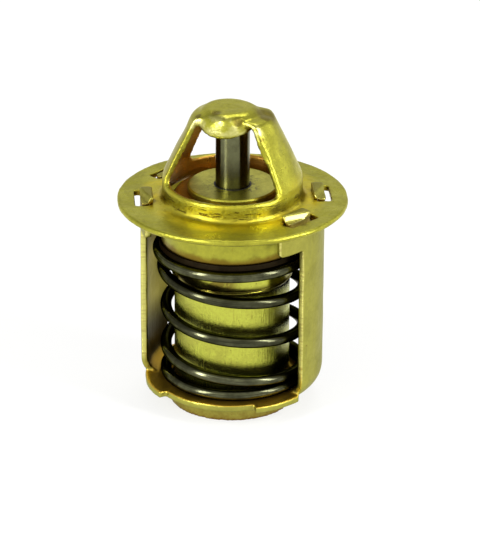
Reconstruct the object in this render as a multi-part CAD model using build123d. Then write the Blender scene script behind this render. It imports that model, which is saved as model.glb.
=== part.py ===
from build123d import *
from math import atan2, cos, degrees, radians, sin
import os

# Engine thermostat of the insert type, in millimetres. The frame's lip stands on
# z = 0, the axis is +Z, the two legs of the frame lie on the X axis and the water
# passes through the windows that face -Y and +Y.

# ---- sheet, wire and clearances ----
flange_sheet = 1.0            # brass strip of the flange and bridge stamping
frame_sheet = 1.2             # brass strip of the lower frame
valve_sheet = 0.9             # brass strip of the valve
cup_wall = 0.8                # drawn wall of the wax capsule
wire_radius = 1.0             # spring wire
running_gap = 0.05            # pin in its guide, on the radius
fit_gap = 0.1                 # between pieces that sit in each other
valve_gap = 0.12              # closed valve to the flange above it
lip_gap = 0.3                 # capsule in the frame's bottom lip, on the radius
spring_foot_gap = 0.07        # last turn of the spring to the bottom plate
overcut = 1.0                 # how far a cutting shape reaches past what it cuts
same_size = 1e-3              # tolerance when an edge is looked up by its radius

# ---- flange and collar ----
flange_height = 38.0          # top face of the flange above the ground
flange_radius = 20.0
flange_edge_round = 0.2
collar_bore_radius = 11.2
collar_height = 3.2
collar_root_radius = 1.0

# ---- bridge over the collar ----
knee_height = 4.0             # where the legs lean inwards, above the flange
knee_radius = 4.0
shelf_height = 15.3           # top of the legs, above the flange
shelf_radius = 6.97
shelf_round = 1.4
shelf_rise = 0.25             # how much the shelf climbs from there to the crown
leg_half_width = 5.0
leg_foot_half_width = 6.2
leg_flare_radius = 7.6        # distance from the axis where the feet start to widen
neck_half_width = 4.2         # of the legs where they meet the crown
neck_reach = 4.8              # end of the neck, from the middle of the crown
neck_taper = 2.2              # length over which the legs narrow to the neck
foot_fillet = 1.2
crown_rise = 1.25             # crown above the top of the legs
crown_inset = 1.37            # crown's wall inside the top of the legs
crown_round = 2.2
crown_lip_depth = 4.05        # turned-down edge of the crown, seen in the windows
crown_lip_arch = 10.5         # radius of that edge, which rises towards the legs
crown_offset = 0.6            # the crown was struck a little off the axis
crown_open_half_width = 2.6   # gap in the turned-down edge under each leg

# ---- lower frame ----
frame_spring_gap = 0.9        # from the spring's widest turn to the legs
frame_bend_radius = 3.7       # outside of the bend from leg to bottom
frame_leg_angle = 20.3        # half the width of a leg, in degrees
frame_turn = -2.2             # frame was clinched a little turned against the bridge
bottom_rise = 3.15            # underside of the bottom plate above the lip's edge
rim_setback = 0.6             # rim of the bottom plate inside the legs' outer face
rim_cut_depth = 1.3           # how far the rim is cut back in each window
rim_cut_angle = 35.5          # half the width of the cut in each window
lip_edge_wall = 0.7
lip_root_radius = 2.2         # drawn radius from the plate down to the lip
ear_angle = 40.0              # half the width of the top of a leg
ear_drop = 4.9                # ears below the flange
ear_round = 0.8

# ---- tabs and slots ----
tab_angle = 23.75             # each side of a leg's middle
tab_width = 5.3
tab_reach = 0.65              # how far a tab lies over the flange, past its slot
tab_round = 0.3
slot_width = 6.6
slot_inner_gap = 0.3
slot_outer_gap = 0.95

# ---- piston pin ----
pin_radius = 2.98
pin_chamfer = 0.4
pin_depth = 27.0              # tip of the pin below the flange's top face

# ---- valve and guide ----
seat_overlap = 1.2            # skirt of the valve past the collar's bore
skirt_depth = 7.73            # bottom edge of the skirt below the flange's top face
hat_gap = 0.9                 # top of the valve inside the collar
hat_height = 1.2              # top of the valve above the flange's top face
valve_bend = 0.5
guide_head_overlap = 1.2      # riveted head over the valve
guide_head_height = 1.1
guide_head_chamfer = 0.25
guide_neck_radius = 6.6
guide_flange_width = 0.65     # step under the capsule's crimp
guide_flange_height = 2.4
seal_width = 0.25
seal_depth = 0.6

# ---- spring and its seat ----
seat_height = 0.97
seat_overhang = 0.4           # spring seat past the skirt
spring_capsule_gap = 0.4      # from the capsule's crimp to the wire
spring_top_opening = 1.15     # the top turn is opened out under the seat
spring_pitch_turns = 3.175    # free turns between the closed ends
spring_top_turns = 0.9
spring_bottom_turns = 0.75
spring_ease_in = 0.55         # turns over which the pitch opens
spring_ease_out = 0.7         # turns over which it closes again
spring_start_angle = -73.0    # where the pitch starts, from +X about the axis
points_per_turn = 14

# ---- wax capsule ----
cup_radius = 10.1
cup_ground_gap = 0.8          # bottom of the cup above the ground
cup_corner_radius = 1.6
crimp_step = 0.25             # crimped band outside the cup
crimp_depth = 8.9             # top of the crimp below the flange's top face
crimp_height = 5.3
bead_radius = 0.2
boot_wall = 2.57
boot_side_gap = 0.4           # boot's flange inside the cup
boot_flange_height = 1.5
boot_end_wall = 2.5
boot_tip_gap = 0.6
washer_width = 1.57
washer_height = 1.0

# ---- radii that follow from the sizes, from the pin outwards ----
collar_radius = collar_bore_radius + flange_sheet
pin_bore_radius = pin_radius + running_gap
seal_radius = pin_bore_radius + seal_width
washer_radius = pin_bore_radius + washer_width
boot_radius = pin_bore_radius + boot_wall
guide_head_radius = guide_neck_radius + guide_head_overlap
hat_radius = collar_bore_radius - hat_gap
crown_radius = shelf_radius - crown_inset
skirt_radius = collar_bore_radius + seat_overlap
cup_inner_radius = cup_radius - cup_wall
boot_flange_radius = cup_inner_radius - boot_side_gap
guide_flange_radius = cup_inner_radius - fit_gap / 2
guide_body_radius = guide_flange_radius - guide_flange_width
crimp_radius = cup_radius + crimp_step
capsule_bore_radius = cup_radius + lip_gap
lip_radius = capsule_bore_radius + lip_edge_wall
lip_root_end = lip_radius + lip_root_radius + fit_gap
spring_radius = crimp_radius + spring_capsule_gap + wire_radius
spring_top_radius = spring_radius + spring_top_opening
seat_inner_radius = crimp_radius + 2 * fit_gap
seat_outer_radius = skirt_radius + seat_overhang
leg_inner_radius = spring_top_radius + wire_radius + frame_spring_gap
frame_radius = leg_inner_radius + frame_sheet
rim_radius = frame_radius - rim_setback
rim_cut_radius = rim_radius - rim_cut_depth
slot_inner_radius = leg_inner_radius - slot_inner_gap
slot_outer_radius = frame_radius + slot_outer_gap

# ---- heights that follow from the sizes, from the crown down ----
flange_top = flange_height
flange_bottom = flange_top - flange_sheet
shelf_top = flange_top + shelf_height + shelf_rise
crown_top = flange_top + shelf_height + crown_rise
crown_inside = crown_top - flange_sheet
valve_top = flange_top + hat_height
guide_top = valve_top + guide_head_height
seal_bottom = guide_top - seal_depth
shoulder_top = flange_bottom - valve_gap
skirt_bottom = flange_top - skirt_depth
seat_bottom = skirt_bottom - seat_height
crimp_top = flange_top - crimp_depth
guide_flange_top = crimp_top - cup_wall
guide_bottom = guide_flange_top - guide_flange_height
boot_flange_bottom = guide_bottom - boot_flange_height
pin_tip = flange_top - pin_depth
boot_bore_bottom = pin_tip - boot_tip_gap
boot_bottom = boot_bore_bottom - boot_end_wall
bottom_plate_top = bottom_rise + frame_sheet

# ---- turns of the spring that change its height, both ends counted ----
spring_working_turns = spring_pitch_turns + (spring_ease_in + spring_ease_out) / 2


def turned(points, radii=None):
    """Solid of revolution about Z from a closed outline of (radius, height)."""
    if radii:
        outline = FilletPolyline(*points, radius=radii, close=True)
    else:
        outline = Polyline(*points, close=True)
    return revolve(Plane.XZ * make_face(outline.edges()), Axis.Z)


def drawn_sheet(points, radii, sheet, side):
    """Revolved sheet of one thickness whose outer face follows the points."""
    path = FilletPolyline(*points, radius=radii)
    outline = offset(path, amount=sheet, side=side, closed=True)
    return revolve(Plane.XZ * make_face(outline.edges()), Axis.Z)


def wedge(half_angle, centre_angle, bottom, top, reach):
    """Prism over the sector within half_angle of centre_angle, about the axis."""
    first = radians(centre_angle - half_angle)
    last = radians(centre_angle + half_angle)
    middle = radians(centre_angle)
    far = reach / cos(radians(half_angle))
    corners = [
        (0, 0),
        (far * cos(first), far * sin(first)),
        (far * cos(middle), far * sin(middle)),
        (far * cos(last), far * sin(last)),
    ]
    face = make_face(Polyline(*corners, close=True).edges())
    return Pos(0, 0, bottom) * extrude(face, top - bottom)


def tab_angles():
    """Directions of the four tabs from the frame's own X, two on each leg."""
    return [leg + side * tab_angle for leg in (0, 180) for side in (-1, 1)]


def bridge_outline():
    """Plan of the two legs: parallel over the crown, wider at the feet."""
    foot = (collar_radius**2 - leg_foot_half_width**2) ** 0.5
    slope = (leg_foot_half_width - leg_half_width) / (foot - leg_flare_radius)
    end = collar_radius + overcut
    end_width = leg_half_width + slope * (end - leg_flare_radius)
    corners = [
        (end, end_width),
        (leg_flare_radius, leg_half_width),
        (-leg_flare_radius, leg_half_width),
        (-end, end_width),
        (-end, -end_width),
        (-leg_flare_radius, -leg_half_width),
        (leg_flare_radius, -leg_half_width),
        (end, -end_width),
    ]
    return make_face(Polyline(*corners, close=True).edges())


def neck_notches():
    """Cuts on both sides of the crown that leave a neck at the top of each leg."""
    outer = leg_half_width + overcut
    wide = neck_reach + neck_taper
    corners = [
        (-wide, outer),
        (-wide, leg_half_width),
        (-neck_reach, neck_half_width),
        (neck_reach, neck_half_width),
        (wide, leg_half_width),
        (wide, outer),
    ]
    notch = extrude(make_face(Polyline(*corners, close=True).edges()), shelf_height)
    notch = Pos(-crown_offset, 0, flange_top + knee_height) * notch
    return notch + mirror(notch, Plane.XZ)


def crown_hollow():
    """Inside of the crown's pocket, with the radius of the punch at its top."""
    bottom = crown_top - crown_lip_depth - overcut
    inner_radius = crown_radius - flange_sheet
    hollow = turned(
        [(0, crown_inside), (inner_radius, crown_inside), (inner_radius, bottom), (0, bottom)]
    )
    hollow = fillet(hollow.edges().group_by(Axis.Z)[-1], crown_round - flange_sheet)
    return Pos(-crown_offset, 0, 0) * hollow


def crown():
    """Pocket struck up in the middle of the bridge, open below for the pin."""
    shell = turned(
        [
            (0, crown_top),
            (crown_radius, crown_top),
            (crown_radius, crown_top - crown_lip_depth),
            (0, crown_top - crown_lip_depth),
        ]
    )
    shell = fillet(shell.edges().group_by(Axis.Z)[-1], crown_round)
    under_legs = Box(
        2 * (crown_radius + overcut),
        2 * crown_open_half_width,
        crown_lip_depth + overcut,
        align=(Align.CENTER, Align.CENTER, Align.MAX),
    )
    under_legs = Pos(0, 0, shelf_top - flange_sheet) * under_legs
    lip_centre = crown_top - crown_lip_depth + crown_lip_arch
    lip = Rot(90, 0, 0) * Cylinder(crown_lip_arch, 2 * (crown_radius + overcut))
    shell = (shell - under_legs) & Pos(0, 0, lip_centre) * lip
    return Pos(-crown_offset, 0, 0) * shell - crown_hollow()


def flange_bridge():
    """Flange, collar and bridge, drawn and pierced from one piece of strip."""
    z0 = flange_top
    dome = drawn_sheet(
        [
            (flange_radius, z0),
            (collar_radius, z0),
            (collar_radius, z0 + knee_height),
            (shelf_radius, z0 + shelf_height),
            (crown_radius, shelf_top),
            (0, shelf_top),
        ],
        [collar_root_radius, knee_radius, shelf_round, 0],
        flange_sheet,
        Side.LEFT,
    )
    rim_top = z0 + collar_height
    above = crown_top - rim_top + overcut
    legs = Pos(0, 0, rim_top) * extrude(bridge_outline(), above)
    windows = Pos(0, 0, rim_top) * Cylinder(
        collar_radius + flange_sheet / 2, above, align=(Align.CENTER, Align.CENTER, Align.MIN)
    )
    windows = windows - legs
    feet = windows.edges().filter_by(GeomType.LINE).group_by(Axis.Z)[0]
    body = dome - fillet(feet, foot_fillet) - neck_notches()
    body = body - crown_hollow() + crown()
    slot_middle = (slot_inner_radius + slot_outer_radius) / 2
    slot = Box(slot_outer_radius - slot_inner_radius, slot_width, 3 * flange_sheet)
    slot = fillet(slot.edges().filter_by(Axis.Z), flange_edge_round)
    for angle in tab_angles():
        body = body - Rot(0, 0, frame_turn + angle) * Pos(slot_middle, 0, z0) * slot
    rim = body.edges().filter_by(GeomType.CIRCLE).filter_by(
        lambda edge: abs(edge.radius - flange_radius) < same_size
    )
    return fillet(rim, flange_edge_round)


def lower_frame():
    """Cage below the flange: two legs with ears, bent from a pierced disc."""
    walls = drawn_sheet(
        [(frame_radius, flange_bottom), (frame_radius, bottom_rise), (lip_radius, bottom_rise)],
        [frame_bend_radius],
        frame_sheet,
        Side.RIGHT,
    )
    reach = flange_radius + overcut
    legs = [walls & wedge(frame_leg_angle, side, 0, flange_bottom, reach) for side in (0, 180)]

    ring = turned(
        [
            (leg_inner_radius, flange_bottom - ear_drop),
            (leg_inner_radius, flange_bottom),
            (frame_radius, flange_bottom),
            (frame_radius, flange_bottom - ear_drop),
        ]
    )
    ears = []
    for side in (0, 180):
        ear = ring & wedge(ear_angle, side, 0, flange_bottom, reach)
        corners = ear.edges().filter_by(GeomType.LINE).group_by(Axis.Z)[0]
        ears.append(fillet(corners, ear_round))

    plate = Pos(0, 0, bottom_rise) * Cylinder(
        rim_radius, frame_sheet, align=(Align.CENTER, Align.CENTER, Align.MIN)
    )
    disc = Pos(0, 0, bottom_rise) * Cylinder(
        rim_cut_radius, frame_sheet, align=(Align.CENTER, Align.CENTER, Align.MIN)
    )
    for side in (90, 270):
        cut = wedge(rim_cut_angle, side, 0, bottom_plate_top, reach)
        plate = plate - (cut - disc)
    for side in (0, 180):
        leg_room = wedge(frame_leg_angle, side, 0, bottom_plate_top, reach)
        inside = Cylinder(frame_radius - frame_bend_radius, 4 * bottom_plate_top)
        plate = plate - (leg_room - inside)
    plate = plate - Cylinder(lip_radius, 4 * bottom_plate_top)

    lip = turned(
        [
            (capsule_bore_radius, 0),
            (capsule_bore_radius, bottom_plate_top),
            (lip_root_end, bottom_plate_top),
            (lip_root_end, bottom_rise),
            (lip_radius, bottom_rise),
            (lip_radius, 0),
        ],
        [0, frame_sheet / 2, 0, 0, lip_root_radius, 0],
    )

    body = plate + lip
    for piece in legs + ears:
        body = body + piece
    for angle in tab_angles():
        body = body + Rot(0, 0, angle) * tab()
    return Rot(0, 0, frame_turn) * body


def tab():
    """One tab on the +X side: up through its slot and clinched inwards."""
    height = flange_bottom - frame_sheet
    top = flange_top + frame_sheet
    half_angle = degrees(atan2(tab_width / 2, leg_inner_radius))
    ring = turned(
        [
            (leg_inner_radius, height),
            (leg_inner_radius, flange_top),
            (frame_radius, flange_top),
            (frame_radius, height),
        ]
    )
    stem = ring & wedge(half_angle, 0, height, flange_top, flange_radius)
    length = frame_radius - slot_inner_radius + tab_reach
    bent = Box(length, tab_width, frame_sheet, align=(Align.MAX, Align.CENTER, Align.MAX))
    bent = Pos(frame_radius, 0, top) * bent
    outer = bent.edges().filter_by(Axis.Y).group_by(Axis.Z)[-1].sort_by(Axis.X)[-1]
    bent = fillet(outer, tab_round)
    return stem + bent


def piston_pin():
    """Ground steel pin: fixed in the crown, with its tip inside the element."""
    length = crown_inside - pin_tip
    pin = Pos(0, 0, pin_tip) * Cylinder(
        pin_radius, length, align=(Align.CENTER, Align.CENTER, Align.MIN)
    )
    return chamfer(pin.edges().filter_by(GeomType.CIRCLE), pin_chamfer)


def valve_cup():
    """Stepped valve: flat top round the guide, seat shoulder and deep skirt."""
    return drawn_sheet(
        [
            (guide_neck_radius + fit_gap, valve_top),
            (hat_radius, valve_top),
            (hat_radius, shoulder_top),
            (skirt_radius, shoulder_top),
            (skirt_radius, skirt_bottom),
        ],
        [valve_bend + valve_sheet, valve_bend, valve_bend + valve_sheet],
        valve_sheet,
        Side.RIGHT,
    )


def element_guide():
    """Turned guide: riveted head over the valve, bore for the pin, crimped foot."""
    valve_under = valve_top - valve_sheet
    guide = turned(
        [
            (pin_bore_radius, seal_bottom),
            (seal_radius, seal_bottom),
            (seal_radius, guide_top),
            (guide_head_radius, guide_top),
            (guide_head_radius, valve_top),
            (guide_neck_radius, valve_top),
            (guide_neck_radius, valve_under),
            (guide_body_radius, valve_under),
            (guide_body_radius, guide_flange_top),
            (guide_flange_radius, guide_flange_top),
            (guide_flange_radius, guide_bottom),
            (washer_radius + fit_gap, guide_bottom),
            (washer_radius + fit_gap, guide_bottom + washer_height),
            (pin_bore_radius, guide_bottom + washer_height),
        ]
    )
    edge = guide.edges().filter_by(GeomType.CIRCLE).filter_by(
        lambda rim: abs(rim.radius - guide_head_radius) < same_size
        and abs(rim.center().Z - guide_top) < same_size
    )
    return chamfer(edge, guide_head_chamfer)


def pin_seal():
    """Rubber ring in the guide's top recess, round the foot of the pin."""
    return turned(
        [
            (pin_bore_radius, seal_bottom),
            (seal_radius - fit_gap / 2, seal_bottom),
            (seal_radius - fit_gap / 2, guide_top),
            (pin_bore_radius, guide_top),
        ]
    )


def spring_seat():
    """Flat steel ring on the spring, under the valve's skirt."""
    return turned(
        [
            (seat_inner_radius, seat_bottom),
            (seat_outer_radius, seat_bottom),
            (seat_outer_radius, skirt_bottom),
            (seat_inner_radius, skirt_bottom),
        ]
    )


def spring_drop(turn):
    """Share of the spring's drop reached after a number of working turns."""
    left = spring_working_turns - turn
    if turn <= 0:
        return 0.0
    if turn < spring_ease_in:
        return turn**2 / (2 * spring_ease_in) / spring_pitch_turns
    if left <= 0:
        return 1.0
    if left < spring_ease_out:
        return 1 - left**2 / (2 * spring_ease_out) / spring_pitch_turns
    return (turn - spring_ease_in / 2) / spring_pitch_turns


def return_spring():
    """Left-hand spring with closed ends, between the seat and the bottom plate."""
    top = seat_bottom - wire_radius
    bottom = bottom_plate_top + wire_radius + spring_foot_gap
    total = spring_top_turns + spring_working_turns + spring_bottom_turns
    steps = round(total * points_per_turn)
    points = []
    for step in range(steps + 1):
        turn = total * step / steps - spring_top_turns
        height = top - (top - bottom) * spring_drop(turn)
        widen = max(0.0, min(1.0, 1 - turn))
        radius = spring_radius + (spring_top_radius - spring_radius) * widen
        angle = radians(spring_start_angle + 360 * turn)
        points.append((radius * cos(angle), radius * sin(angle), height))
    path = Spline(*points)
    section = Plane(path @ 0, z_dir=path % 0) * Circle(wire_radius)
    return sweep(section, path=path)


def capsule_cup():
    """Drawn brass cup of the wax element, crimped over the guide's flange."""
    bottom = cup_ground_gap
    crimp_bottom = crimp_top - crimp_height
    outside = turned(
        [
            (0, bottom),
            (cup_radius, bottom),
            (cup_radius, crimp_bottom),
            (crimp_radius, crimp_bottom),
            (crimp_radius, crimp_top),
            (0, crimp_top),
        ]
    )
    corner = outside.edges().filter_by(GeomType.CIRCLE).group_by(Axis.Z)[0]
    outside = fillet(corner, cup_corner_radius)
    shoulder = outside.edges().filter_by(GeomType.CIRCLE).group_by(Axis.Z)[-1]
    outside = fillet(shoulder, cup_wall / 2)
    bead = Pos(0, 0, crimp_bottom + bead_radius) * Torus(crimp_radius, bead_radius)
    inside = turned(
        [
            (0, bottom + cup_wall),
            (cup_inner_radius, bottom + cup_wall),
            (cup_inner_radius, guide_flange_top),
            (guide_body_radius + fit_gap, guide_flange_top),
            (guide_body_radius + fit_gap, crimp_top + overcut),
            (0, crimp_top + overcut),
        ]
    )
    return outside + bead - inside


def rubber_boot():
    """Rubber sleeve with a closed end, clamped under the guide, round the pin."""
    sleeve = turned(
        [
            (0, boot_bottom),
            (boot_radius, boot_bottom),
            (boot_radius, boot_flange_bottom),
            (boot_flange_radius, boot_flange_bottom),
            (boot_flange_radius, guide_bottom),
            (pin_bore_radius, guide_bottom),
            (pin_bore_radius, boot_bore_bottom),
            (0, boot_bore_bottom),
        ]
    )
    tip = sleeve.edges().filter_by(GeomType.CIRCLE).group_by(Axis.Z)[0]
    return fillet(tip, boot_radius / 2)


def wax_charge():
    """Wax and copper powder that fills the cup round the boot."""
    top = boot_flange_bottom - fit_gap
    floor = cup_ground_gap + cup_wall
    block = turned(
        [
            (0, floor),
            (cup_inner_radius - fit_gap, floor),
            (cup_inner_radius - fit_gap, top),
            (0, top),
        ]
    )
    room = turned(
        [
            (0, boot_bottom - fit_gap),
            (boot_radius + fit_gap, boot_bottom - fit_gap),
            (boot_radius + fit_gap, top + overcut),
            (0, top + overcut),
        ]
    )
    tip = room.edges().filter_by(GeomType.CIRCLE).group_by(Axis.Z)[0]
    return block - fillet(tip, boot_radius / 2)


def backup_washer():
    """Hard plastic ring that keeps the boot out of the guide's bore."""
    return turned(
        [
            (pin_bore_radius, guide_bottom),
            (washer_radius, guide_bottom),
            (washer_radius, guide_bottom + washer_height - fit_gap / 2),
            (pin_bore_radius, guide_bottom + washer_height - fit_gap / 2),
        ]
    )


pieces = {
    "flange_bridge": flange_bridge,
    "lower_frame": lower_frame,
    "piston_pin": piston_pin,
    "valve_cup": valve_cup,
    "element_guide": element_guide,
    "pin_seal": pin_seal,
    "spring_seat": spring_seat,
    "return_spring": return_spring,
    "capsule_cup": capsule_cup,
    "rubber_boot": rubber_boot,
    "wax_charge": wax_charge,
    "backup_washer": backup_washer,
}

os.makedirs("parts", exist_ok=True)
for name, make in pieces.items():
    export_step(make(), f"parts/{name}.step")
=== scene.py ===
from math import atan2, cos, degrees, exp, hypot, pi, radians, sin

import bpy
from mathutils import Matrix, Vector, noise


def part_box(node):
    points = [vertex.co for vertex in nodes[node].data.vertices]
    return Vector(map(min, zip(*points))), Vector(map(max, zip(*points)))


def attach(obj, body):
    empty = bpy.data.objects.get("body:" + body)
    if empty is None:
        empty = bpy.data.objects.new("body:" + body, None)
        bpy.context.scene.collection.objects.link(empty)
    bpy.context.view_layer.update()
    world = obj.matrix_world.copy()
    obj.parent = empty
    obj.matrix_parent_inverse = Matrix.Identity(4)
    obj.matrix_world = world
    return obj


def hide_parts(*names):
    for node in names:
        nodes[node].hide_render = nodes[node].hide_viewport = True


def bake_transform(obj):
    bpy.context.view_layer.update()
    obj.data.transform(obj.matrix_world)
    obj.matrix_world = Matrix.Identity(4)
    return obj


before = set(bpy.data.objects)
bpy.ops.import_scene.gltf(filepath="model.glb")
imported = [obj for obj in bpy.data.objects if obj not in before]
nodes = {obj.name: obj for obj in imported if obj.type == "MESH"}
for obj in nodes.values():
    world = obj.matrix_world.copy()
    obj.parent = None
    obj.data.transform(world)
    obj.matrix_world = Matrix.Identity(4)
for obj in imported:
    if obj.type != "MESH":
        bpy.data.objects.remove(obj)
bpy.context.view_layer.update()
scene = bpy.context.scene
scene.view_settings.view_transform = "Standard"

# ---- Camera ----
# A long lens looks down on the thermostat from the front, a little to its right. The
# picture's middle lies below the flange, and the camera is rolled by under one degree.
valve_top_above_flange = 0.0012
flange_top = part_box("valve_cup")[1][2] - valve_top_above_flange
camera_azimuth = radians(17.0)
camera_elevation = radians(24.1)
camera_roll = radians(0.35)
camera_distance = 0.6
picture_height = 0.0923
picture_offset_right = 0.00129
picture_offset_up = -0.01226


def direction(azimuth, elevation):
    """Unit vector from the object, with azimuth 0 at the front and 90 degrees at +X."""
    return Vector((
        sin(azimuth) * cos(elevation), -cos(azimuth) * cos(elevation), sin(elevation)
    ))


back = direction(camera_azimuth, camera_elevation)
level_right = Vector((cos(camera_azimuth), sin(camera_azimuth), 0))
level_up = back.cross(level_right)
right = level_right * cos(camera_roll) + level_up * sin(camera_roll)
up = level_up * cos(camera_roll) - level_right * sin(camera_roll)

camera_data = bpy.data.cameras.new("camera")
camera_data.sensor_width = 36
camera_data.lens = camera_data.sensor_width * camera_distance / picture_height
camera_data.clip_start = 0.01
camera = bpy.data.objects.new("camera", camera_data)
scene.collection.objects.link(camera)
scene.camera = camera
aim = Vector((0, 0, flange_top)) + right * picture_offset_right + up * picture_offset_up
turn = Matrix((right, up, back)).transposed().to_4x4()
camera.matrix_world = Matrix.Translation(aim + back * camera_distance) @ turn

# ---- Lamps ----
# Two softboxes stand left and right of the camera, a weak one stands at the right side
# and one hangs behind. They put the long highlights on the pin and on the spring.
lamp_target = Vector((0, 0, 0.03))
lamp_distance = 0.9


def softbox(name, azimuth, elevation, size, power):
    """Rectangular lamp that faces the object, at an azimuth counted from the camera."""
    data = bpy.data.lights.new(name, "AREA")
    data.shape = "RECTANGLE"
    data.size, data.size_y = size
    data.energy = power
    lamp = bpy.data.objects.new(name, data)
    scene.collection.objects.link(lamp)
    towards = direction(camera_azimuth + radians(azimuth), radians(elevation))
    lamp.location = lamp_target + towards * lamp_distance
    lamp.rotation_mode = "QUATERNION"
    lamp.rotation_quaternion = towards.to_track_quat("Z", "Y")


for lamp_values in [
    ("softbox_left", -48, 21, (0.18, 0.66), 7.6),
    ("softbox_right", 62, 28, (0.15, 0.62), 6.6),
    ("softbox_side", 112, 14, (0.13, 0.50), 0.4),
    ("softbox_back", 165, 62, (0.5, 0.3), 2.0),
]:
    softbox(*lamp_values)

# ---- Floor and surroundings ----
# A matt white sheet lies under the object and runs back out of sight. The surroundings
# are light near the horizon, darker overhead and lightest behind the camera.
floor_reach = 4.0
floor_white_share = 0.74
floor_colour = (0.85, 0.85, 0.85, 1)
surroundings_low = (0.80, 0.80, 0.78, 1)
surroundings_high = (0.34, 0.34, 0.33, 1)
room_light = (1.05, 1.05, 1.00, 1)
room_middle = direction(camera_azimuth, radians(30.0))
room_cosines = (0.45, 0.85)
overhead_heights = (0.25, 0.95)


def add(tree, kind, inputs=None, **settings):
    """New shader node; each input takes a value or another node's output."""
    node = tree.nodes.new(kind)
    for name, value in settings.items():
        setattr(node, name, value)
    for name, value in (inputs or {}).items():
        if isinstance(value, bpy.types.NodeSocket):
            tree.links.new(value, node.inputs[name])
        else:
            node.inputs[name].default_value = value
    return node


def number(tree, operation, *values, clamp=False):
    """Output of a Math node."""
    node = add(tree, "ShaderNodeMath", dict(enumerate(values)), operation=operation)
    node.use_clamp = clamp
    return node.outputs[0]


def times(tree, first, second):
    """Product of two values; of two masks, it is where both are."""
    return number(tree, "MULTIPLY", first, second)


def blended(tree, share, first, second, blend_type="MIX"):
    """Output of a colour Mix node: second over first, by share."""
    node = add(
        tree, "ShaderNodeMix", {0: share, 6: first, 7: second},
        data_type="RGBA", blend_type=blend_type,
    )
    return node.outputs[2]


def ramp(tree, value, low, high):
    """Smooth mask that is 0 below low and 1 above high."""
    node = add(
        tree, "ShaderNodeMapRange", {"Value": value, "From Min": low, "From Max": high},
        interpolation_type="SMOOTHSTEP",
    )
    return node.outputs[0]


def new_material(name):
    """Material with its tree, its Principled shader and its output node."""
    material = bpy.data.materials.new(name)
    material.use_nodes = True
    tree = material.node_tree
    return material, tree, tree.nodes["Principled BSDF"], tree.nodes["Material Output"]


floor_data = bpy.data.meshes.new("floor")
floor_corners = [(-1, -1), (1, -1), (1, 1), (-1, 1)]
floor_data.from_pydata(
    [(x * floor_reach, y * floor_reach, 0) for x, y in floor_corners], [], [(0, 1, 2, 3)]
)
floor = bpy.data.objects.new("floor", floor_data)
scene.collection.objects.link(floor)

paper, tree, shader, output = new_material("white_paper")
floor_data.materials.append(paper)
shader.inputs["Base Color"].default_value = floor_colour
shader.inputs["Roughness"].default_value = 0.9
ray = add(tree, "ShaderNodeLightPath")
seen = number(tree, "ADD", ray.outputs["Is Camera Ray"], ray.outputs["Is Glossy Ray"])
seen = number(tree, "ADD", seen, ray.outputs["Is Transmission Ray"], clamp=True)
white = add(tree, "ShaderNodeEmission")
paper_mix = add(tree, "ShaderNodeMixShader", {
    0: times(tree, seen, floor_white_share),
    1: shader.outputs[0],
    2: white.outputs[0],
})
tree.links.new(paper_mix.outputs[0], output.inputs["Surface"])

world = bpy.data.worlds.new("studio")
scene.world = world
world.use_nodes = True
tree = world.node_tree
sky = tree.nodes["Background"]
heading = add(tree, "ShaderNodeTexCoord")
height = add(tree, "ShaderNodeSeparateXYZ", {0: heading.outputs["Generated"]})
shade = blended(
    tree, ramp(tree, height.outputs["Z"], *overhead_heights), surroundings_low,
    surroundings_high,
)
towards_room = add(
    tree, "ShaderNodeVectorMath", {0: heading.outputs["Generated"], 1: room_middle},
    operation="DOT_PRODUCT",
)
in_room = ramp(tree, towards_room.outputs["Value"], *room_cosines)
shade = blended(tree, in_room, shade, room_light)
ray = add(tree, "ShaderNodeLightPath")
shade = blended(tree, ray.outputs["Is Camera Ray"], shade, (1, 1, 1, 1))
tree.links.new(shade, sky.inputs["Color"])

# ---- Flange and bridge ----
# Flange, collar and bridge are one stamping of brass strip, drawn and pierced in steps.
# Its outside is bright where it has been handled, and on the crown's front this rubbed
# brass also carries a painted highlight. Its left leg and the crown's folds carry painted
# shade. Inside, and round the collar's root, the heat of the press and of storage has
# left brown and orange tarnish.
mesh_fineness = 0.00025
unevenness = 0.00007
unevenness_seed = 1795480236
first_passes = 3
crown_passes = 18
crown_bottom = 0.0505
crown_blend = 0.0015
crown_middle_radius = 0.003
crown_front_azimuth = -88.0
crown_front_spread = 60.0
crown_front_stiffness = 0.9


def new_mesh(piece):
    """Mesh that a piece's modifiers give, which then takes their place."""
    bpy.context.view_layer.update()
    shaped = piece.evaluated_get(bpy.context.evaluated_depsgraph_get())
    mesh = bpy.data.meshes.new_from_object(shaped)
    piece.modifiers.clear()
    piece.data = mesh
    return mesh


def smoothed(piece, passes, weight=None):
    """Rounds a piece's edges in a number of passes, less where a weight is low."""
    smooth = piece.modifiers.new("rounding", "SMOOTH")
    smooth.factor = 0.5
    smooth.iterations = passes
    if weight:
        points = piece.vertex_groups.new(name="rounding")
        for vertex in piece.data.vertices:
            points.add([vertex.index], weight(vertex.co), "REPLACE")
        smooth.vertex_group = "rounding"
    mesh = new_mesh(piece)
    piece.vertex_groups.clear()
    return mesh


def worn_copy(node, name):
    """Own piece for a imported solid, meshed evenly so that its edges can be rounded."""
    piece = bpy.data.objects.new(name, nodes[node].data.copy())
    scene.collection.objects.link(piece)
    even = piece.modifiers.new("even_mesh", "REMESH")
    even.mode = "VOXEL"
    even.voxel_size = mesh_fineness
    new_mesh(piece)
    smoothed(piece, first_passes)
    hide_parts(node)
    return piece


def hammered(piece, node, dents, wave_length):
    """Soft dents (middle, reach, push) and slow waves, kept inside the node's box."""
    low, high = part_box(node)
    for vertex in piece.data.vertices:
        spot = vertex.co.copy()
        moved = spot + noise.noise_vector(spot / wave_length) * unevenness
        for middle, reach, push in dents:
            moved += Vector(push) * exp(-((spot - Vector(middle)).length / reach) ** 2)
        vertex.co = [min(max(moved[i], low[i]), high[i]) for i in range(3)]
    for face in piece.data.polygons:
        face.use_smooth = True
    piece.data.update()


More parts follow.
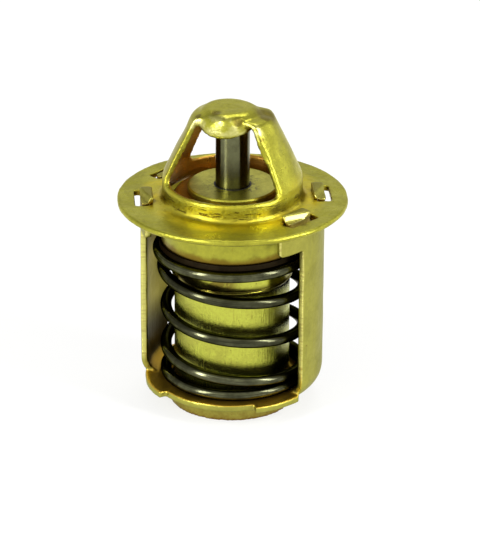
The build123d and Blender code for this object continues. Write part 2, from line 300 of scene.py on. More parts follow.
def crown_weight(spot):
    """How far a point takes part in the crown's soft shape, which its front does least."""
    on_front = 0.0
    if hypot(spot.x, spot.y) > crown_middle_radius:
        off_front = abs(degrees(atan2(spot.y, spot.x)) - crown_front_azimuth)
        on_front = max(0.0, 1 - off_front / crown_front_spread)
    height = min(1.0, max(0.0, (spot.z - crown_bottom) / crown_blend))
    return height * (1 - crown_front_stiffness * min(1.0, 2 * on_front))


# Dents in the crown's front and on its shoulder, and a slack place in each leg.
crown_dents = [
    ((0.0025, -0.0046, 0.0528), 0.0012, (-0.00012, 0.00034, -0.00006)),
    ((0.0001, -0.0050, 0.0536), 0.0008, (0.0, -0.00014, 0.00012)),
    ((0.0040, -0.0040, 0.0529), 0.0007, (0.00012, -0.00012, 0.00004)),
    ((-0.0026, -0.0046, 0.0537), 0.0009, (0.00006, 0.00012, -0.00008)),
    ((-0.0020, -0.0032, 0.0545), 0.0009, (0.0, 0.00004, -0.00014)),
    ((0.0060, 0.0010, 0.0535), 0.0012, (-0.00006, 0.0, -0.00024)),
    ((0.0094, -0.0010, 0.0480), 0.0016, (-0.00016, 0.0, -0.00008)),
    ((-0.0082, -0.0020, 0.0500), 0.0018, (0.00018, 0.0, -0.00010)),
]
# Blender starts this noise from the clock unless it is given a seed.
noise.seed_set(unevenness_seed)
flange = worn_copy("flange_bridge", "flange_and_bridge")
smoothed(flange, crown_passes, crown_weight)
hammered(flange, "flange_bridge", crown_dents, wave_length=0.0035)
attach(flange, "housing")


def new_group(name, inputs, outputs):
    """Shader node group with named sockets; gives its tree, inputs and outputs."""
    group = bpy.data.node_groups.new(name, "ShaderNodeTree")
    for socket, kind, value in inputs:
        made = group.interface.new_socket(socket, in_out="INPUT", socket_type=kind)
        made.default_value = value
    for socket, kind in outputs:
        group.interface.new_socket(socket, in_out="OUTPUT", socket_type=kind)
    start = group.nodes.new("NodeGroupInput")
    end = group.nodes.new("NodeGroupOutput")
    return group, start.outputs, end.inputs


def place(tree, group, inputs):
    """Outputs of a group that is put into a material with its own values."""
    return add(tree, "ShaderNodeGroup", inputs, node_tree=group).outputs


def spot_of(tree):
    """Place on the piece, in metres."""
    return add(tree, "ShaderNodeTexCoord").outputs["Object"]


def patches(tree, scale, detail=4.0, roughness=0.6, distortion=0.0, vector=None):
    """Noise over the piece, from 0 to 1."""
    cloud = add(tree, "ShaderNodeTexNoise", {
        "Vector": vector or spot_of(tree), "Scale": scale, "Detail": detail,
        "Roughness": roughness, "Distortion": distortion,
    })
    return cloud.outputs[0]


def without(tree, mask):
    """Mask that is 1 where another one is 0."""
    return number(tree, "SUBTRACT", 1.0, mask)


# Cloudy tarnish: a bright colour clouds over into a dull one, with small dark specks of
# stain. In the corners, where ambient occlusion finds them, the colour is painted darker
# towards the same stain colour as shade.
FLOAT = "NodeSocketFloat"
COLOUR = "NodeSocketColor"
tarnish_and_shade, given, out = new_group(
    "tarnish_and_shade",
    [
        ("Bright", COLOUR, (0.6, 0.5, 0.1, 1)),
        ("Dull", COLOUR, (0.4, 0.34, 0.08, 1)),
        ("Stain And Shade", COLOUR, (0.2, 0.08, 0.01, 1)),
        ("Cloud Scale", FLOAT, 260.0),
        ("Speck Amount", FLOAT, 0.5),
        ("Corner Reach", FLOAT, 0.0012),
        ("Corner Amount", FLOAT, 0.8),
        ("Smooth Roughness", FLOAT, 0.26),
        ("Dull Roughness", FLOAT, 0.42),
    ],
    [("Color", COLOUR), ("Roughness", FLOAT), ("Height", FLOAT), ("Cloud", FLOAT)],
)
tree = tarnish_and_shade
cloud_mask = ramp(tree, patches(tree, given["Cloud Scale"], 5.0), 0.38, 0.66)
fine = patches(tree, times(tree, given["Cloud Scale"], 7.0), 3.0, 0.65)
speck = patches(tree, times(tree, given["Cloud Scale"], 11.0), 2.0, distortion=0.6)
speck_mask = times(tree, ramp(tree, speck, 0.66, 0.74), given["Speck Amount"])
# Painted shade: ambient occlusion darkens the corners towards the stain colour.
corner = add(tree, "ShaderNodeAmbientOcclusion", {"Distance": given["Corner Reach"]})
corner.samples = 8
corner_shade_mask = times(tree, without(tree, corner.outputs["AO"]), given["Corner Amount"])
ragged = number(tree, "MULTIPLY_ADD", fine, 1.4, 0.3)
corner_shade_mask = number(tree, "MULTIPLY", corner_shade_mask, ragged, clamp=True)
mottled = number(
    tree, "MULTIPLY_ADD", ramp(tree, fine, 0.35, 0.65), 0.35, times(tree, cloud_mask, 0.75),
    clamp=True,
)
shade = blended(tree, mottled, given["Bright"], given["Dull"])
shade = blended(tree, corner_shade_mask, shade, given["Stain And Shade"])
shade = blended(tree, speck_mask, shade, given["Stain And Shade"])
tree.links.new(shade, out["Color"])
rough = add(tree, "ShaderNodeMapRange", {
    "Value": number(tree, "MULTIPLY_ADD", fine, 0.5, times(tree, cloud_mask, 0.5)),
    "To Min": given["Smooth Roughness"], "To Max": given["Dull Roughness"],
})
tree.links.new(rough.outputs[0], out["Roughness"])
tree.links.new(number(tree, "SUBTRACT", fine, speck_mask), out["Height"])
tree.links.new(cloud_mask, out["Cloud"])

# Rolling and drawing marks: noise that is stretched along the metal's travel. The
# stretch is given for X, Y and Z and for the distance from the axis.
streaks, given, out = new_group(
    "drawing_marks",
    [
        ("Along X", FLOAT, 100.0),
        ("Along Y", FLOAT, 100.0),
        ("Along Z", FLOAT, 2500.0),
        ("Along Radius", FLOAT, 0.0),
        ("Threshold", FLOAT, 0.6),
    ],
    [("Marks", FLOAT), ("Scores", FLOAT)],
)
tree = streaks
x, y, z = add(tree, "ShaderNodeSeparateXYZ", {0: spot_of(tree)}).outputs
radius = number(tree, "SQRT", number(tree, "ADD", times(tree, x, x), times(tree, y, y)))
along_z = times(tree, z, given["Along Z"])
stretched = add(tree, "ShaderNodeCombineXYZ", {
    0: times(tree, x, given["Along X"]),
    1: times(tree, y, given["Along Y"]),
    2: number(tree, "ADD", along_z, times(tree, radius, given["Along Radius"])),
})
marks = patches(tree, 1.0, 4.0, 0.7, vector=stretched.outputs[0])
tree.links.new(marks, out["Marks"])
scores = number(tree, "SUBTRACT", marks, given["Threshold"])
tree.links.new(ramp(tree, scores, 0.0, 0.06), out["Scores"])

# Worn edges: a rounded normal for every sharp edge, and a mask where the edge turns.
edges, given, out = new_group(
    "rounded_edges",
    [("Radius", FLOAT, 0.00015)],
    [("Normal", "NodeSocketVector"), ("Edge", FLOAT)],
)
tree = edges
rounded = add(tree, "ShaderNodeBevel", {"Radius": given["Radius"]}, samples=6)
surface = add(tree, "ShaderNodeNewGeometry")
parallel = add(
    tree, "ShaderNodeVectorMath", {0: rounded.outputs[0], 1: surface.outputs["Normal"]},
    operation="DOT_PRODUCT",
)
tree.links.new(rounded.outputs[0], out["Normal"])
turned_away = without(tree, parallel.outputs["Value"])
tree.links.new(ramp(tree, turned_away, 0.02, 0.25), out["Edge"])


def coordinate(tree, axis):
    """The place on the piece along X, Y or Z, in metres."""
    return add(tree, "ShaderNodeSeparateXYZ", {0: spot_of(tree)}).outputs[axis]


def from_axis(tree, operation):
    """Vector from the axis to the place on the piece, as its length or as a unit vector."""
    flat = add(
        tree, "ShaderNodeVectorMath", {0: spot_of(tree), 1: (1, 1, 0)},
        operation="MULTIPLY",
    )
    return add(tree, "ShaderNodeVectorMath", {0: flat.outputs[0]}, operation=operation)


def inward(tree):
    """Mask that is 1 on faces that look towards the axis."""
    surface = add(tree, "ShaderNodeNewGeometry")
    facing = add(
        tree, "ShaderNodeVectorMath",
        {0: from_axis(tree, "NORMALIZE").outputs[0], 1: surface.outputs["Normal"]},
        operation="DOT_PRODUCT",
    )
    return ramp(tree, times(tree, facing.outputs["Value"], -1.0), 0.15, 0.6)


def between(tree, value, low, high, soft):
    """Mask that is 1 between two values, with soft ends."""
    above = ramp(tree, value, low - soft, low + soft)
    beyond = ramp(tree, value, high - soft, high + soft)
    return number(tree, "SUBTRACT", above, beyond, clamp=True)


def ring(tree, inner, outer, soft):
    """Mask that is 1 between two distances from the axis."""
    return between(tree, from_axis(tree, "LENGTH").outputs["Value"], inner, outer, soft)


def band(tree, low, high, soft):
    """Mask that is 1 between two heights."""
    return between(tree, coordinate(tree, "Z"), low, high, soft)


def grime_and_shade(tree, places):
    """Mask of ragged dirt and painted shade round some places (middle, reach) on the piece.
    """
    total = 0.0
    ragged = number(tree, "MULTIPLY_ADD", patches(tree, 900.0, 4.0), 1.6, -0.5)
    for middle, reach in places:
        far = add(
            tree, "ShaderNodeVectorMath", {0: spot_of(tree), 1: middle},
            operation="DISTANCE",
        )
        near = without(tree, ramp(tree, far.outputs["Value"], 0.3 * reach, reach))
        total = number(tree, "MAXIMUM", total, near)
    return number(tree, "MULTIPLY", total, number(tree, "ADD", ragged, total), clamp=True)


def layered(tree, shade, *layers):
    """Colours laid over a shade one by one, each by a share of its mask."""
    for mask, share, colour in layers:
        shade = blended(tree, times(tree, mask, share), shade, colour)
    return shade


def relief(tree, normal, *layers):
    """Normal with heights pressed in one by one, each to its depth in metres."""
    for height, depth in layers:
        normal = add(tree, "ShaderNodeBump", {
            "Height": height, "Distance": depth, "Strength": 1.0, "Normal": normal,
        }).outputs[0]
    return normal


def rounded_normal(tree, radius):
    """Normal that rounds every sharp edge of the piece."""
    return place(tree, edges, {"Radius": radius})["Normal"]


def finish_surface(tree, shader, shade, roughness, normal):
    """Joins a finished colour, roughness and normal to the shader."""
    tree.links.new(shade, shader.inputs["Base Color"])
    tree.links.new(roughness, shader.inputs["Roughness"])
    tree.links.new(normal, shader.inputs["Normal"])


def dress(piece, material):
    """Gives a finished material to every slot of a piece."""
    if not piece.material_slots:
        piece.data.materials.append(material)
    for slot in piece.material_slots:
        slot.material = material


collar_heights = (flange_top + 0.0006, flange_top + 0.0026)
collar_wall_radii = (0.0119, 0.0127)
collar_root_radii = (0.0122, 0.0158)
bore_radii = (0.0, 0.0130)
crown_front_heights = (0.0512, 0.0541)
crown_front_y = (-0.0034, -0.0046)
left_leg_heights = (0.0425, 0.0520)
left_leg_x = (-0.0066, -0.0078)
# Dirt and painted shade in the crown's folds, at the bridge's shoulder and round the
# clinched tabs.
grimy_and_shaded_places = [
    ((0.0023, -0.0043, 0.0536), 0.0014), ((-0.0020, -0.0032, 0.0545), 0.0014),
    ((0.0058, 0.0014, 0.0535), 0.0034), ((0.0060, -0.0006, 0.0535), 0.0016),
    ((-0.0052, -0.0033, 0.0534), 0.0009), ((0.0066, -0.0046, 0.0510), 0.0007),
    ((0.0124, -0.0080, 0.0380), 0.0019), ((0.0150, -0.0082, 0.0380), 0.0012),
    ((-0.0128, -0.0066, 0.0380), 0.0017), ((0.0131, 0.0070, 0.0380), 0.0017),
]
orange_tarnish = (0.84, 0.68, 0.030, 1)
collar_olive = (0.29, 0.27, 0.030, 1)
score_black = (0.06, 0.04, 0.006, 1)
rubbed_and_sheen_brass = (0.82, 0.78, 0.36, 1)
grime_and_shade_brown = (0.15, 0.115, 0.020, 1)
left_leg_shade_colour = (0.22, 0.19, 0.024, 1)
bore_brown = (0.46, 0.21, 0.045, 1)
edge_brass = (0.70, 0.66, 0.19, 1)

flange_brass, tree, shader, output = new_material("flange_brass")
shader.inputs["Metallic"].default_value = 1.0
shader.inputs["Specular Tint"].default_value = (1.0, 0.97, 0.78, 1)
worn = place(tree, edges, {"Radius": 0.00018})
skin = place(tree, tarnish_and_shade, {
    "Bright": (0.46, 0.445, 0.050, 1), "Dull": (0.32, 0.305, 0.034, 1),
    "Stain And Shade": (0.17, 0.07, 0.008, 1), "Cloud Scale": 230.0, "Speck Amount": 0.6,
    "Corner Reach": 0.0020, "Corner Amount": 1.35, "Smooth Roughness": 0.24,
    "Dull Roughness": 0.40,
})
drawn = place(tree, streaks, {
    "Along X": 380.0, "Along Y": 380.0, "Along Z": 2800.0, "Along Radius": 900.0,
    "Threshold": 0.55,
})
collar = times(
    tree, band(tree, *collar_heights, soft=0.0005),
    ring(tree, *collar_wall_radii, soft=0.0002),
)
root = times(
    tree, ring(tree, *collar_root_radii, soft=0.0012),
    number(tree, "MULTIPLY_ADD", skin["Cloud"], 0.45, 0.25),
)
score_share = number(tree, "MULTIPLY_ADD", collar, 0.95, 0.15)
scored = number(tree, "MULTIPLY", drawn["Scores"], score_share, clamp=True)
# Pale brass on the crown's front: partly rubbed bright by handling, partly a painted
# highlight.
rubbed_and_sheen = times(
    tree, band(tree, *crown_front_heights, soft=0.0006),
    ramp(tree, coordinate(tree, "Y"), *crown_front_y),
)
rubbed_and_sheen = times(tree, rubbed_and_sheen, ramp(tree, patches(tree, 420.0, 3.0), 0.35, 0.60))
# The bridge's left leg is painted darker as shade.
left_leg_shade = times(
    tree, band(tree, *left_leg_heights, soft=0.0012),
    ramp(tree, coordinate(tree, "X"), *left_leg_x),
)
bore = times(tree, inward(tree), ring(tree, *bore_radii, soft=0.0004))
shade = layered(
    tree, skin["Color"],
    (root, 1.0, orange_tarnish),
    (collar, 0.7, collar_olive),
    (scored, 1.0, score_black),
    (rubbed_and_sheen, 0.55, rubbed_and_sheen_brass),
    (grime_and_shade(tree, grimy_and_shaded_places), 0.8, grime_and_shade_brown),
    (left_leg_shade, 0.65, left_leg_shade_colour),
    (bore, 0.8, bore_brown),
    (worn["Edge"], 0.6, edge_brass),
)
normal = relief(
    tree, worn["Normal"],
    (patches(tree, 420.0, 2.0), 0.00010),
    (drawn["Marks"], 0.00008),
    (times(tree, collar, patches(tree, 1500.0, 3.0)), 0.00012),
    (skin["Height"], 0.000012),
)
finish_surface(tree, shader, shade, skin["Roughness"], normal)
dress(flange, flange_brass)

# ---- Lower frame ----
# The cage is cut from thicker brass strip and bent up into two legs. Its four tabs go
# up through the flange and are clinched over it. The front right tab's outer faces carry
# a painted highlight, partly bright struck brass, and the tabs' tops and the cage's low
# inner faces carry painted shade.
cage_turn = -2.2
tab_half_angle = 23.75
tab_azimuths = [
    leg + side * tab_half_angle + cage_turn for leg in (0, 180) for side in (-1, 1)
]
tab_middle_radius = 0.0154
tab_height = 0.0012
tab_slope = 1.9
tab_ridge = 0.0002
tab_skew = Vector((0, -0.45, 0))
tab_lowest = 0.00015
above_flange = 0.00005


def clinch_tabs(mesh):
    """Knocks the tabs' tops down on their outer side, as the clinching tool does."""
    angles = [radians(azimuth) for azimuth in tab_azimuths]
    outward = [Vector((cos(angle), sin(angle), 0)) for angle in angles]
    for vertex in mesh.vertices:
        spot = vertex.co
        if spot.z > flange_top + above_flange:
            tab = max(outward, key=spot.dot)
            lean = (tab + tab_skew).normalized()
            beyond = (spot - tab * tab_middle_radius).dot(lean) + tab_ridge
            highest = flange_top + tab_height - tab_slope * max(0.0, beyond)
            vertex.co.z = max(flange_top + tab_lowest, min(spot.z, highest))


# Dents in the feet of the two legs and in the front of the bottom plate.
frame_dents = [
    ((0.0160, -0.0050, 0.0060), 0.0016, (0.00012, -0.00016, 0.0)),
    ((-0.0150, -0.0060, 0.0040), 0.0016, (0.00012, 0.00010, 0.00010)),
    ((0.0060, -0.0120, 0.0020), 0.0014, (0.0, 0.00010, 0.00012)),
]
cage = worn_copy("lower_frame", "lower_frame_cage")
clinch_tabs(cage.data)
hammered(cage, "lower_frame", frame_dents, wave_length=0.0045)
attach(cage, "housing")

plate_heights = (0.0030, 0.0062)
leg_heights = (0.0070, 0.0360)
shaded_below = (0.0105, 0.0175)
tab_top_heights = (flange_top + 0.0009, flange_top + 0.00115)
struck_highlight_heights = (flange_top, flange_top + 0.0002)
struck_highlight_x = (0.0, 0.002)
roll_mark_brown = (0.22, 0.16, 0.04, 1)
inside_olive = (0.44, 0.36, 0.07, 1)
inner_shade_black = (0.030, 0.020, 0.005, 1)
plate_orange = (0.70, 0.44, 0.05, 1)
cut_brass = (0.66, 0.62, 0.18, 1)
shear_brown = (0.30, 0.22, 0.05, 1)
upright_edge_brown = (0.20, 0.12, 0.025, 1)
bent_edge_brass = (0.62, 0.58, 0.24, 1)
tab_top_shade_brown = (0.22, 0.18, 0.04, 1)
struck_highlight_brass = (0.72, 0.66, 0.24, 1)

frame_brass, tree, shader, output = new_material("frame_brass")
shader.inputs["Metallic"].default_value = 1.0
shader.inputs["Specular Tint"].default_value = (0.72, 0.72, 0.66, 1)
worn = place(tree, edges, {"Radius": 0.0002})
skin = place(tree, tarnish_and_shade, {
    "Bright": (0.42, 0.40, 0.072, 1), "Dull": (0.32, 0.305, 0.056, 1),
    "Stain And Shade": (0.16, 0.065, 0.008, 1), "Cloud Scale": 200.0, "Speck Amount": 0.5,
    "Corner Reach": 0.0022, "Corner Amount": 1.35, "Smooth Roughness": 0.30,
    "Dull Roughness": 0.46,
})
rolled = place(tree, streaks, {
    "Along X": 2600.0, "Along Y": 2600.0, "Along Z": 90.0, "Along Radius": 0.0,
    "Threshold": 0.64,
})
facing = add(tree, "ShaderNodeSeparateXYZ", {
    0: add(tree, "ShaderNodeNewGeometry").outputs["Normal"],
})
plate = times(
    tree, band(tree, *plate_heights, soft=0.0008), ramp(tree, facing.outputs["Z"], 0.3, 0.8)
)
inner = inward(tree)
# Painted shade: the cage's inner faces turn near black towards the bottom.
low = without(tree, ramp(tree, coordinate(tree, "Z"), *shaded_below))
upright = band(tree, *leg_heights, soft=0.0010)
faces_front = ramp(tree, times(tree, facing.outputs["Y"], -1.0), 0.75, 0.95)
cut = times(tree, faces_front, upright)
shear_lines = add(tree, "ShaderNodeMapping", {
    "Vector": spot_of(tree), "Scale": (150.0, 150.0, 1900.0),
})
sheared = patches(tree, 1.0, 3.0, 0.7, vector=shear_lines.outputs[0])
# The tabs' flat tops are painted darker as shade.
tab_top_shade = times(
    tree, ramp(tree, coordinate(tree, "Z"), *tab_top_heights),
    ramp(tree, facing.outputs["Z"], 0.85, 0.97),
)
# Painted highlight, partly bright struck brass, on the front right tab's faces that turn to
# the front and right.
front_right = number(tree, "SUBTRACT", facing.outputs["X"], facing.outputs["Y"])
struck_highlight = times(
    tree, ramp(tree, coordinate(tree, "Z"), *struck_highlight_heights),
    ramp(tree, front_right, 1.0, 1.15),
)
struck_highlight = times(tree, struck_highlight, ramp(tree, coordinate(tree, "X"), *struck_highlight_x))
shade = layered(
    tree, skin["Color"],
    (rolled["Scores"], 0.3, roll_mark_brown),
    (inner, 0.7, inside_olive),
    (times(tree, inner, low), 0.96, inner_shade_black),
    (plate, 0.85, plate_orange),
    (cut, 0.8, cut_brass),
    (times(tree, cut, ramp(tree, sheared, 0.5, 0.6)), 0.4, shear_brown),
    (times(tree, worn["Edge"], upright), 0.75, upright_edge_brown),
    (times(tree, worn["Edge"], without(tree, upright)), 0.55, bent_edge_brass),
    (tab_top_shade, 0.5, tab_top_shade_brown),
    (struck_highlight, 0.6, struck_highlight_brass),
)
normal = relief(
    tree, worn["Normal"],
    (skin["Cloud"], 0.00004),
    (rolled["Marks"], 0.00003),
    (times(tree, cut, sheared), 0.00012),
    (skin["Height"], 0.000012),
)
finish_surface(tree, shader, shade, skin["Roughness"], normal)
dress(cage, frame_brass)

# ---- Piston pin ----
# A ground steel pin is fixed in the crown. The wheel has left fine rings round it, so
# its highlights run straight up and down.
ring_grey = (0.07, 0.07, 0.04, 1)
pin_steel, tree, shader, output = new_material("pin_steel")
shader.inputs["Metallic"].default_value = 1.0
shader.inputs["Anisotropic"].default_value = 0.9
shader.inputs["Anisotropic Rotation"].default_value = 0.25
around = add(tree, "ShaderNodeTangent", direction_type="RADIAL", axis="Z")
tree.links.new(around.outputs[0], shader.inputs["Tangent"])
skin = place(tree, tarnish_and_shade, {
    "Bright": (0.19, 0.195, 0.100, 1), "Dull": (0.13, 0.13, 0.066, 1),
    "Stain And Shade": (0.02, 0.015, 0.008, 1), "Cloud Scale": 420.0, "Speck Amount": 0.4,
    "Corner Reach": 0.0006, "Corner Amount": 1.0, "Smooth Roughness": 0.20,
    "Dull Roughness": 0.28,
})
rings = place(tree, streaks, {
    "Along X": 90.0, "Along Y": 90.0, "Along Z": 6000.0, "Along Radius": 0.0,
    "Threshold": 0.66,
})
shade = layered(tree, skin["Color"], (rings["Marks"], 0.35, ring_grey))
normal = relief(tree, rounded_normal(tree, 0.0001), (rings["Marks"], 0.000006))
finish_surface(tree, shader, shade, skin["Roughness"], normal)
dress(nodes["piston_pin"], pin_steel)

# ---- Valve ----
# The valve is a deep cup drawn from thin brass. Its skirt closes off the flange's bore
# from below, and its lower edge stands on the spring's seat.
skirt_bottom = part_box("valve_cup")[0][2]
hem_heights = (skirt_bottom + 0.0001, skirt_bottom + 0.0014)
top_face_heights = (flange_top - 0.0002, flange_top + 0.0006)
hem_waviness = 0.0006
draw_mark_brown = (0.24, 0.16, 0.02, 1)
hem_shade_brown = (0.16, 0.09, 0.010, 1)
top_face_brown = (0.24, 0.12, 0.016, 1)

valve_brass, tree, shader, output = new_material("valve_brass")
shader.inputs["Metallic"].default_value = 1.0
skin = place(tree, tarnish_and_shade, {
    "Bright": (0.41, 0.40, 0.045, 1), "Dull": (0.30, 0.295, 0.038, 1),
    "Stain And Shade": (0.12, 0.05, 0.006, 1), "Cloud Scale": 240.0, "Speck Amount": 0.3,
    "Corner Reach": 0.0010, "Corner Amount": 1.0, "Smooth Roughness": 0.26,
    "Dull Roughness": 0.40,
})
drawn = place(tree, streaks, {
    "Along X": 900.0, "Along Y": 900.0, "Along Z": 420.0, "Along Radius": 0.0,
    "Threshold": 0.64,
})
wavy_height = number(
    tree, "MULTIPLY_ADD", skin["Cloud"], -hem_waviness, coordinate(tree, "Z")
)
# Towards the skirt's lower edge, above the spring's seat, the brass is painted darker as
# shade.
shade = layered(
    tree, skin["Color"],
    (drawn["Scores"], 0.35, draw_mark_brown),
    (without(tree, ramp(tree, wavy_height, *hem_heights)), 0.8, hem_shade_brown),
    (ramp(tree, coordinate(tree, "Z"), *top_face_heights), 0.8, top_face_brown),
)
normal = relief(
    tree, rounded_normal(tree, 0.00015), (drawn["Marks"], 0.00003),
    (skin["Height"], 0.00001),
)
finish_surface(tree, shader, shade, skin["Roughness"], normal)
dress(nodes["valve_cup"], valve_brass)

# ---- Guide ----
# The guide is turned from brass bar. Its flat head is riveted over the valve, and the
# pin runs in its bore. Fingers and grit have scratched the head round the pin's foot.
pin_foot_radii = (0.0033, 0.0050)
tool_mark_brown = (0.14, 0.11, 0.03, 1)
grit_black = (0.05, 0.035, 0.012, 1)

guide_brass, tree, shader, output = new_material("guide_brass")
shader.inputs["Metallic"].default_value = 1.0
skin = place(tree, tarnish_and_shade, {
    "Bright": (0.50, 0.475, 0.055, 1), "Dull": (0.33, 0.31, 0.04, 1),
    "Stain And Shade": (0.10, 0.05, 0.010, 1), "Cloud Scale": 330.0, "Speck Amount": 0.8,
    "Corner Reach": 0.0008, "Corner Amount": 0.9, "Smooth Roughness": 0.34,
    "Dull Roughness": 0.48,
})
faced = place(tree, streaks, {
    "Along X": 150.0, "Along Y": 150.0, "Along Z": 0.0, "Along Radius": 2600.0,
    "Threshold": 0.66,
})
grit = ramp(tree, patches(tree, 900.0, 4.0, distortion=1.5), 0.52, 0.64)
shade = layered(
    tree, skin["Color"],
    (faced["Scores"], 0.4, tool_mark_brown),
    (times(tree, ring(tree, *pin_foot_radii, soft=0.0007), grit), 0.8, grit_black),
)
normal = relief(
    tree, rounded_normal(tree, 0.00012), (faced["Marks"], 0.000012),
    (skin["Height"], 0.000012),
)
finish_surface(tree, shader, shade, skin["Roughness"], normal)
dress(nodes["element_guide"], guide_brass)

# ---- Pin seal, boot ----
# Both are black rubber. The seal lies in the guide's top recess, and the boot inside
# the wax capsule squeezes the pin out when the wax melts.
rubber, tree, shader, output = new_material("black_rubber")
skin = place(tree, tarnish_and_shade, {
    "Bright": (0.012, 0.012, 0.011, 1), "Dull": (0.025, 0.023, 0.02, 1),
    "Stain And Shade": (0.006, 0.005, 0.004, 1), "Cloud Scale": 900.0, "Speck Amount": 0.4,
    "Corner Reach": 0.0004, "Corner Amount": 0.5, "Smooth Roughness": 0.45,
    "Dull Roughness": 0.7,
})
normal = relief(tree, rounded_normal(tree, 0.0001), (skin["Height"], 0.00002))
finish_surface(tree, shader, skin["Color"], skin["Roughness"], normal)
dress(nodes["pin_seal"], rubber)
dress(nodes["rubber_boot"], rubber)

# ---- Spring seat ----
# A flat steel ring spreads the spring's load over the valve's thin edge. It is coloured
# near black as painted shade of the dark gap between the valve and the spring. It isn't
# fixed: the spring's top turn holds it up against the valve.
seat_shade_steel, tree, shader, output = new_material("seat_steel_painted_shade")
shader.inputs["Metallic"].default_value = 1.0
shader.inputs["Specular Tint"].default_value = (0.40, 0.33, 0.20, 1)
skin = place(tree, tarnish_and_shade, {
    "Bright": (0.022, 0.016, 0.008, 1), "Dull": (0.012, 0.009, 0.005, 1),
    "Stain And Shade": (0.045, 0.022, 0.006, 1), "Cloud Scale": 420.0, "Speck Amount": 0.8,
    "Corner Reach": 0.0008, "Corner Amount": 0.3, "Smooth Roughness": 0.45,
    "Dull Roughness": 0.6,
})
normal = relief(tree, rounded_normal(tree, 0.0001), (skin["Height"], 0.00001))
finish_surface(tree, shader, skin["Color"], skin["Roughness"], normal)
dress(nodes["spring_seat"], seat_shade_steel)

# ---- Return spring ----
# The spring is coiled left-handed from hard-drawn steel wire, with its ends closed. The
# wire is dark from its oil and shows the die's fine lines along its length. Its middle
# turns, its inner side and the places where the capsule and cage close round it are
# painted darker still, as shade.
wire_radius = 0.0010
coil_radius = 0.0120
coil_lean = 0.0004
narrow_turns = (0.3, 1.1)
top_coil_radius = 0.0129
coil_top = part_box("spring_seat")[0][2] - wire_radius
coil_bottom = 0.00542
pitch_turns = 3.0725
ease_in = 0.615
ease_out = 0.7
closed_top_turns = 0.4
closed_bottom_turns = 0.75
start_angle = radians(-73.0)
steps_per_turn = 96
wire_sides = 20
working_turns = pitch_turns + (ease_in + ease_out) / 2


def coil_drop(turn):
    """Share of the spring's drop after a number of working turns."""
    left = working_turns - turn
    if turn <= 0:
        return 0.0
    if left <= 0:
        return 1.0
    if turn < ease_in:
        return turn**2 / (2 * ease_in) / pitch_turns
    if left < ease_out:
        return 1 - left**2 / (2 * ease_out) / pitch_turns
    return (turn - ease_in / 2) / pitch_turns


def coil_point(turn):
    """Middle of the wire after a number of working turns."""
    first, last = narrow_turns
    widen = max(0.0, min(1.0, (last - turn) / (last - first)))
    radius = coil_radius + (top_coil_radius - coil_radius) * widen
    angle = start_angle + 2 * pi * turn
    height = coil_top - (coil_top - coil_bottom) * coil_drop(turn)
    sideways = level_right * coil_lean * (1 - widen)
    return Vector((radius * cos(angle), radius * sin(angle), height)) + sideways


turns = closed_top_turns + working_turns + closed_bottom_turns
steps = round(turns * steps_per_turn)
points = [coil_point(turns * step / steps - closed_top_turns) for step in range(steps + 1)]
verts = []
for index, point in enumerate(points):
    ahead = points[min(index + 1, steps)] - points[max(index - 1, 0)]
    outward = Vector((point.x, point.y, 0)).normalized()
    upward = ahead.cross(outward).normalized()
    outward = upward.cross(ahead).normalized()
    for side in range(wire_sides):
        angle = 2 * pi * side / wire_sides
        verts.append(point + (outward * cos(angle) + upward * sin(angle)) * wire_radius)
faces = []
for step in range(steps):
    for side in range(wire_sides):
        a = step * wire_sides + side
        b = step * wire_sides + (side + 1) % wire_sides
        faces.append((a, b, b + wire_sides, a + wire_sides))
faces.append(tuple(range(wire_sides)))
faces.append(tuple(reversed(range(steps * wire_sides, (steps + 1) * wire_sides))))
spring_data = bpy.data.meshes.new("coil_spring")
spring_data.from_pydata([v[:] for v in verts], [], faces)
wire_map = spring_data.uv_layers.new(name="wire")
for face_index, face in enumerate(spring_data.polygons):
    face.use_smooth = face_index < steps * wire_sides
    if face.use_smooth:
        for corner, loop in enumerate(face.loop_indices):
            along = face_index // wire_sides + (corner > 1)
            across = face_index % wire_sides + (corner in (1, 2))
            wire_map.data[loop].uv = (along / steps_per_turn, across / wire_sides)
spring = bpy.data.objects.new("coil_spring", spring_data)
scene.collection.objects.link(spring)
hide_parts("return_spring")
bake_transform(spring)

middle_turn_heights = (0.0100, 0.0262)
die_line_black = (0.03, 0.03, 0.018, 1)
middle_turn_shade_black = (0.022, 0.022, 0.012, 1)
inner_side_shade_black = (0.010, 0.008, 0.005, 1)

spring_steel, tree, shader, output = new_material("spring_steel")
shader.inputs["Metallic"].default_value = 1.0
shader.inputs["Specular Tint"].default_value = (0.25, 0.25, 0.20, 1)
# The wide, strong corner term paints shade on the wire where the capsule, the cage and its
# own turns close round it.
skin = place(tree, tarnish_and_shade, {
    "Bright": (0.150, 0.153, 0.084, 1), "Dull": (0.055, 0.056, 0.030, 1),
    "Stain And Shade": (0.012, 0.009, 0.005, 1), "Cloud Scale": 330.0, "Speck Amount": 0.4,
    "Corner Reach": 0.004, "Corner Amount": 1.2, "Smooth Roughness": 0.14,
    "Dull Roughness": 0.24,
})
wire = add(tree, "ShaderNodeMapping", {
    "Vector": add(tree, "ShaderNodeUVMap", uv_map="wire").outputs[0],
    "Scale": (9.0, 30.0, 1.0),
})
die_lines = patches(tree, 1.0, 3.0, vector=wire.outputs[0])
# The middle turns and the wire's inner side are painted darker as shade.
shade = layered(
    tree, skin["Color"],
    (ramp(tree, die_lines, 0.42, 0.62), 0.75, die_line_black),
    (band(tree, *middle_turn_heights, soft=0.0012), 0.45, middle_turn_shade_black),
    # Painted shade on the side of the wire that faces the axis.
    (inward(tree), 0.9, inner_side_shade_black),
)
plain_normal = add(tree, "ShaderNodeNewGeometry").outputs["Normal"]
normal = relief(tree, plain_normal, (die_lines, 0.000012))
finish_surface(tree, shader, shade, skin["Roughness"], normal)
spring_data.materials.append(spring_steel)

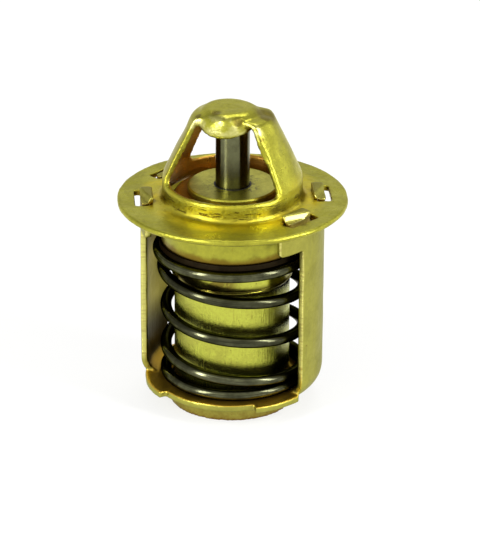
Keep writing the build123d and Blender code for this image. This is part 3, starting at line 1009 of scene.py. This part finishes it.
# ---- Wax capsule ----
# The capsule is a cup drawn from bright brass and crimped over the guide. Drawing has
# left fine upright lines, and the spring's turns are mirrored in its wall.
burn_heights = (0.0236, 0.0268)
burn_ends_x = (0.0022, 0.0048)
bead_heights = (0.0230, 0.0248)
crimp_heights = (0.0236, 0.0280)
upright_mark_brown = (0.26, 0.20, 0.03, 1)
burn_brown = (0.15, 0.09, 0.018, 1)
bead_brown = (0.15, 0.12, 0.020, 1)

capsule_brass, tree, shader, output = new_material("capsule_brass")
shader.inputs["Metallic"].default_value = 1.0
skin = place(tree, tarnish_and_shade, {
    "Bright": (0.55, 0.58, 0.080, 1), "Dull": (0.44, 0.44, 0.065, 1),
    "Stain And Shade": (0.12, 0.05, 0.008, 1), "Cloud Scale": 260.0, "Speck Amount": 0.6,
    "Corner Reach": 0.0006, "Corner Amount": 0.7, "Smooth Roughness": 0.16,
    "Dull Roughness": 0.25,
})
drawn = place(tree, streaks, {
    "Along X": 3300.0, "Along Y": 3300.0, "Along Z": 300.0, "Along Radius": 0.0,
    "Threshold": 0.60,
})
burn_noise = patches(tree, 330.0, 5.0, distortion=0.8)
burnt = ramp(tree, burn_noise, 0.40, 0.56)
burn = times(tree, band(tree, *burn_heights, soft=0.0004), burnt)
burn = times(tree, burn, without(tree, ramp(tree, coordinate(tree, "X"), *burn_ends_x)))
shade = layered(
    tree, skin["Color"],
    (drawn["Scores"], 0.4, upright_mark_brown),
    (burn, 0.8, burn_brown),
    (band(tree, *bead_heights, soft=0.0005), 0.8, bead_brown),
)
off_crimp = without(tree, band(tree, *crimp_heights, soft=0.0003))
normal = relief(
    tree, rounded_normal(tree, 0.00012), (times(tree, drawn["Marks"], off_crimp), 0.00014),
    (skin["Height"], 0.00001),
)
finish_surface(tree, shader, shade, skin["Roughness"], normal)
dress(nodes["capsule_cup"], capsule_brass)

# ---- Wax charge and back-up washer ----
# Both are sealed inside the capsule: wax filled with copper powder, and the hard
# plastic washer that keeps the boot out of the guide's bore.
copper_wax, tree, shader, output = new_material("copper_wax")
skin = place(tree, tarnish_and_shade, {
    "Bright": (0.42, 0.17, 0.07, 1), "Dull": (0.30, 0.11, 0.05, 1),
    "Stain And Shade": (0.60, 0.30, 0.14, 1), "Cloud Scale": 700.0, "Speck Amount": 0.9,
    "Corner Reach": 0.0004, "Corner Amount": 0.3, "Smooth Roughness": 0.5,
    "Dull Roughness": 0.7,
})
plain_normal = add(tree, "ShaderNodeNewGeometry").outputs["Normal"]
normal = relief(tree, plain_normal, (skin["Height"], 0.00002))
finish_surface(tree, shader, skin["Color"], skin["Roughness"], normal)
dress(nodes["wax_charge"], copper_wax)

washer_plastic, tree, shader, output = new_material("white_plastic")
skin = place(tree, tarnish_and_shade, {
    "Bright": (0.80, 0.79, 0.75, 1), "Dull": (0.72, 0.70, 0.64, 1),
    "Stain And Shade": (0.45, 0.40, 0.32, 1), "Cloud Scale": 600.0, "Speck Amount": 0.3,
    "Corner Reach": 0.0004, "Corner Amount": 0.4, "Smooth Roughness": 0.4,
    "Dull Roughness": 0.55,
})
normal = relief(tree, rounded_normal(tree, 0.0001), (skin["Height"], 0.00001))
finish_surface(tree, shader, skin["Color"], skin["Roughness"], normal)
dress(nodes["backup_washer"], washer_plastic)
